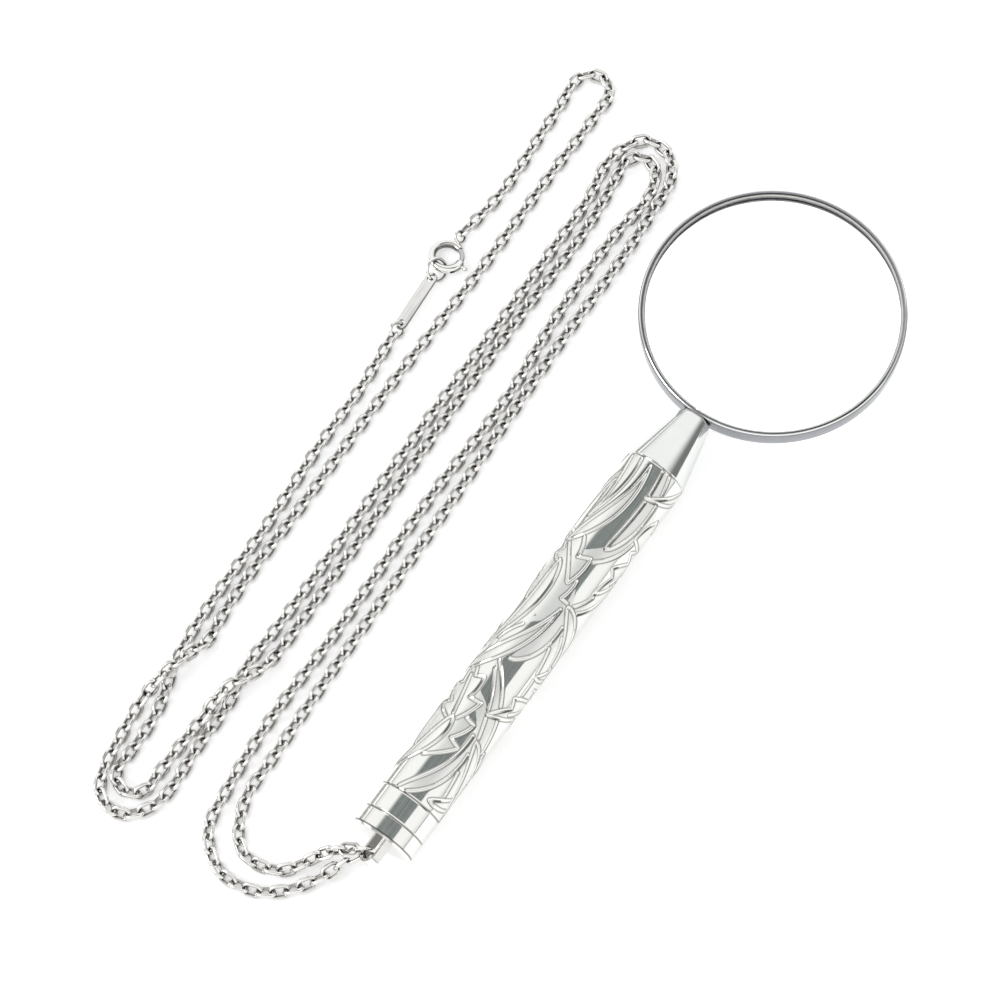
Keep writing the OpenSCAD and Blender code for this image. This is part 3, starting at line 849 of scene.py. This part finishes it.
def leaf(middle, heading, length, bend):
    """A leaf with pointed lobes, which sit a little further along on one side, and its rib."""
    line, side = bent_line(middle, heading, length, bend)
    s = np.linspace(0, 1, LEAF_EDGE_STEPS)
    halves = []
    for sign in (1, -1):
        edge = []
        for (t0, h0, _), (t1, h1, bulge) in zip(LEAF_EDGE, LEAF_EDGE[1:]):
            t = t0 + (t1 - t0) * s
            t = np.clip(t + sign * LEAF_SKEW * np.sin(math.pi * t), 0, 1)
            half = LEAF_W / 2 * (h0 + (h1 - h0) * s + bulge * 4 * s * (1 - s))
            edge.append(beside(line, side, t, sign * half))
        halves.append(np.vstack(edge))
    t = np.linspace(*LEAF_RIB)
    rib = beside(line, side, t, np.zeros(len(t)))
    return np.vstack([halves[0], halves[1][::-1]]), rib


def inside(points, outline):
    """Which points lie in a closed outline."""
    near = np.flatnonzero(((points > outline.min(0)) & (points < outline.max(0))).all(1))
    x, y = points[near].T
    hit = np.zeros(len(near), bool)
    for (x0, y0), (x1, y1) in zip(outline, np.roll(outline, -1, 0)):
        if y0 != y1:
            hit ^= ((y0 > y) != (y1 > y)) & (x < x0 + (y - y0) * (x1 - x0) / (y1 - y0))
    found = np.zeros(len(points), bool)
    found[near[hit]] = True
    return found


def walk(line):
    """Evenly spaced points along a line."""
    run = run_along(line)
    at = np.linspace(0, run[-1], max(2, int(run[-1] / DRAWING_STEP)))
    return look_up(at, run, line)


def close_to(points, line, reach):
    """Which points lie within a reach of a finely drawn line."""
    low = line.min(0) - reach
    high = line.max(0) + reach
    near = np.flatnonzero(((points > low) & (points < high)).all(1))
    found = np.zeros(len(points), bool)
    if len(near):
        gaps = points[near][:, None] - line[None, ::DRAWING_SKIP]
        found[near] = (gaps**2).sum(2).min(1) < reach**2
    return found


def lay_over(drawn, outline, *ribs):
    """Adds a closed motif to the drawing and clears what lies under it or right beside it."""
    closed = walk(np.vstack([outline, outline[:1]]))
    for turn in TURNS:
        drawn = drawn[~inside(drawn, outline + turn)]
        drawn = drawn[~close_to(drawn, closed + turn, MOTIF_GAP)]
    return np.vstack([drawn, closed, *[walk(rib) for rib in ribs]])


def motif_places():
    """Evenly scattered places on the unrolled barrel, each with its numbers and a chance value."""
    for i in range(MOTIF_COLUMNS):
        for j in range(MOTIF_ROWS):
            n = i * MOTIF_ROWS + j
            chance = n * CHANCE_STEP % 1
            along = i + 0.5 + SCATTER_ALONG * (chance - 0.5)
            about = j + 0.5 * (i % 2) + SCATTER_ROUND * (n * ROUND_STEP % 1 - 0.5)
            place = BARREL_LEN * along / MOTIF_COLUMNS, AROUND * about / MOTIF_ROWS
            yield n, i, j, chance, place


def motifs():
    """The outline and ribs of each motif as they are laid: long blades, leaves, short blades."""
    length, more, fan, bend = LONG_BLADE
    for n, i, j, chance, place in motif_places():
        if (n + i) % 2:
            heading = 180 * (n % 3 == 1) + fan * (chance - 0.5)
            turn = (bend if j % 2 else -bend) * (LEAST_BEND + chance)
            yield blade(place, heading, length + more * (n * LENGTH_STEP % 1), turn), []
    length, more, fan, bend = LEAF
    for n, i, j, chance, place in motif_places():
        if (n + i) % 4 == 2:
            heading = 180 * (n % 3 == 1) + LEAF_HEADING + fan * (chance - 0.5)
            outline, rib = leaf(place, heading, length + more * chance, bend * (chance - 0.5))
            yield outline, [rib] * (n % 2)
    length, more, fan, bend = SHORT_BLADE
    for n, i, j, chance, place in motif_places():
        if (n + i) % 4 == 0:
            heading = 180 * (n % 2) + fan * (chance - 0.5)
            turn = bend if i % 2 else -bend
            yield blade(place, heading, length + more * (n * LENGTH_STEP % 1), turn), []


def long_cuts(drawn):
    """The drawing without its shortest scraps."""
    steps = np.linalg.norm(np.diff(drawn, axis=0), axis=1)
    cuts = np.split(drawn, np.flatnonzero(steps > DRAWING_BREAK) + 1)
    return np.vstack([cut for cut in cuts if len(cut) * DRAWING_STEP > SHORTEST_CUT])


def engraved(u):
    """Which places along the barrel are engraved."""
    return (u > ENGRAVED_FROM) & (u < ENGRAVED_TO)


def engrave(u, v):
    """At points of the barrel: depth, distance to the nearest cut, and whether on a motif."""
    drawn = np.zeros((0, 2))
    raised = np.zeros(len(u), bool)
    spots = np.stack([u, v], 1)
    for outline, ribs in motifs():
        drawn = lay_over(drawn, outline, *ribs)
        for turn in TURNS:
            raised |= inside(spots, outline + turn)
    raised &= engraved(u)
    drawn = long_cuts(drawn[engraved(drawn[:, 0])])
    round_v = drawn[:, 1] % AROUND
    tree = kdtree.KDTree(3 * len(drawn))
    for n, (p, q) in enumerate(zip(drawn[:, 0], round_v)):
        for shift in (-1, 0, 1):
            tree.insert((p, q + shift * AROUND, 0), 3 * n + shift + 1)
    tree.balance()
    distance = np.array([tree.find((a, b, 0))[2] for a, b in zip(u, v)])
    depth = CUT_DEPTH * np.clip(1 - distance / CUT_HALF_W, 0, 1)
    depth += SWELL_DEPTH * np.exp(-distance / np.where(raised, SWELL_W, CUT_HALF_W / 2))
    return depth, distance, raised


def make_barrel():
    """The engraved tube: a fine grid outside, with a bevel and the wall's edge at both ends."""
    columns = int(AROUND / GRID)
    stations = int((BARREL_LEN - 2 * SEAM_BEVEL) / GRID)

    def with_ends(values, tail, head):
        """Values of the grid's points with those of two rows more at either end."""
        return np.concatenate([np.repeat(tail, columns), values, np.repeat(head, columns)])

    u = np.linspace(SEAM_BEVEL, BARREL_LEN - SEAM_BEVEL, stations + 1)
    v = np.arange(columns) * AROUND / columns
    all_u = np.repeat(u, columns)
    depth, distance, raised = engrave(all_u, np.tile(v, len(u)))
    border = np.abs(all_u - BORDER_AT) < BORDER_W / 2
    edge = np.exp(-(((distance - CUT_HALF_W) / EDGE_W) ** 2))
    inner = BARREL_R - BARREL_WALL
    bevel = BARREL_R - SEAM_BEVEL
    seam = [SEAM_TARNISH] * 2
    radius = with_ends(BARREL_R - depth - BORDER_DEPTH * border, [inner, bevel], [bevel, inner])
    tarnish_and_shade = with_ends(np.clip(EDGE_TARNISH * edge + BORDER_TARNISH * border, 0, 1), seam, seam)
    satin = with_ends(raised & (distance > CUT_HALF_W), [0, 0], [0, 0])
    x = BARREL_TAIL + with_ends(all_u, [0, 0], [BARREL_LEN] * 2)
    angle = np.tile(v, len(u) + 4) / BARREL_R
    points = np.stack([x, -radius * np.sin(angle), AXIS_Z + radius * np.cos(angle)], 1)
    faces = [face[::-1] for face in grid_faces(len(u) + 4, columns, closed_rows=True)]
    piece = new_object("engraved_barrel", points, faces, BARREL_SILVER, sharp=0)
    store(piece, "tarnish_and_shade", tarnish_and_shade)
    store(piece, "satin", satin)
    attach(piece, "pendant")
    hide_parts("barrel")


make_barrel()


# Finishes of the pieces that stay as they are

FINISH = {
    SILVER: ["clasp_trigger"],
    CAP_SILVER: ["end_cap"],
    PLATE_SILVER: ["tag_plate"],
    FERRULE_SILVER: ["ferrule"],
    STEEL: ["frame_stud", "front_plug", "clasp_stop", "clasp_bolt"],
}
RINGS = ["bail", "bail_ring", "tag_ring", "hook_ring", "clasp_body", "clasp_eye"]

for finish, names in FINISH.items():
    for name in names:
        coat(nodes[name], finish)
# Rings get painted shade on their inner and lower sides
for name in RINGS:
    coat(nodes[name], ring_metal(nodes[name]))
retaining_ring = nodes["retaining_ring"]
# The retaining ring, rough, with painted shade on its inner side
coat(retaining_ring,
     ring_metal(retaining_ring, RETAINING_SHADE, RETAINING_POLISH, RETAINING_INNER_SHADE))


# Floor, light and backdrop

def make_floor():
    """A pale floor that keeps a soft shadow; a share of the white the camera sees is its own."""
    mesh = bpy.data.meshes.new("floor")
    sides = (-1, -1), (1, -1), (1, 1), (-1, 1)
    corners = [(x * FLOOR_HALF, y * FLOOR_HALF, 0) for x, y in sides]
    mesh.from_pydata(corners, [], [(0, 1, 2, 3)])
    material, tree, bsdf = shader("floor_white")
    path = tree.nodes.new("ShaderNodeLightPath").outputs
    seen = math_node(tree, "MAXIMUM", path["Is Camera Ray"], path["Is Transmission Ray"])
    mirrored = math_node(tree, "MULTIPLY", path["Is Glossy Ray"], MIRRORED_GLOW)
    seen = math_node(tree, "MAXIMUM", seen, mirrored)
    fill_named(tree, bsdf, Base_Color=(*FLOOR_COLOUR, 1), Roughness=FLOOR_ROUGHNESS,
               Specular_IOR_Level=0.0, Emission_Color=(*WHITE, 1),
               Emission_Strength=math_node(tree, "MULTIPLY", seen, FLOOR_GLOW))
    mesh.materials.append(material)
    floor = bpy.data.objects.new("floor", mesh)
    bpy.context.scene.collection.objects.link(floor)


def make_world():
    """A white light tent with a dark gap overhead, two darker sides and a dark line at its foot."""
    world = bpy.data.worlds.new("tent")
    world.use_nodes = True
    bpy.context.scene.world = world
    tree = world.node_tree
    x, y, z = split(tree, coordinates(tree, "Generated"))
    overhead = math_node(tree, "ARCTAN2", y, z)
    compass = math_node(tree, "ARCTAN2", y, x)

    def patch(first, first_range, second, second_range):
        """1 where two values both lie in their ranges."""
        return math_node(tree, "MULTIPLY", band(tree, first, *first_range),
                         band(tree, second, *second_range))

    spot = tree.nodes.new("ShaderNodeCombineXYZ")
    fill(tree, spot.inputs, [overhead, math_node(tree, "MULTIPLY", x, STREAK_STRETCH)])
    streaks = spread(tree, noise_at(tree, spot.outputs[0], *STREAK_NOISE), *STREAKS)
    gap = math_node(tree, "MULTIPLY", patch(overhead, GAP_ACROSS, x, GAP_ALONG), streaks)
    dark_parts = [
        (gap, GAP_SHADE),
        (patch(compass, PANEL_ROUND, z, PANEL_UP), PANEL_SHADE),
        (patch(compass, SIDE_ROUND, z, SIDE_UP), SIDE_SHADE),
        (band(tree, z, *HORIZON_UP), HORIZON_SHADE),
        (band(tree, z, *SKIRT_UP), SKIRT_SHADE),
    ]
    shade = 0.0
    for part, amount in dark_parts:
        shade = math_node(tree, "MAXIMUM", shade, math_node(tree, "MULTIPLY", part, amount))
    path = tree.nodes.new("ShaderNodeLightPath").outputs
    hidden = math_node(tree, "SUBTRACT", 1, path["Is Camera Ray"])
    lit = math_node(tree, "SUBTRACT", 1, math_node(tree, "MULTIPLY", shade, hidden))
    fill_named(tree, tree.nodes["Background"],
               Strength=math_node(tree, "MULTIPLY", lit, TENT_LIGHT),
               Color=blend_colours(tree, gap, WHITE, GAP_TINT))


def make_lamp():
    data = bpy.data.lights.new("key", "AREA")
    data.shape = "SQUARE"
    data.size = LAMP_SIZE
    data.energy = LAMP_POWER
    lamp = bpy.data.objects.new("key", data)
    lamp.location = LAMP_PLACE
    aim = Vector(LAMP_AIM) - lamp.location
    lamp.rotation_euler = aim.to_track_quat("-Z", "Y").to_euler()
    bpy.context.scene.collection.objects.link(lamp)


make_floor()
make_world()
make_lamp()
bpy.context.scene.view_settings.view_transform = "Standard"
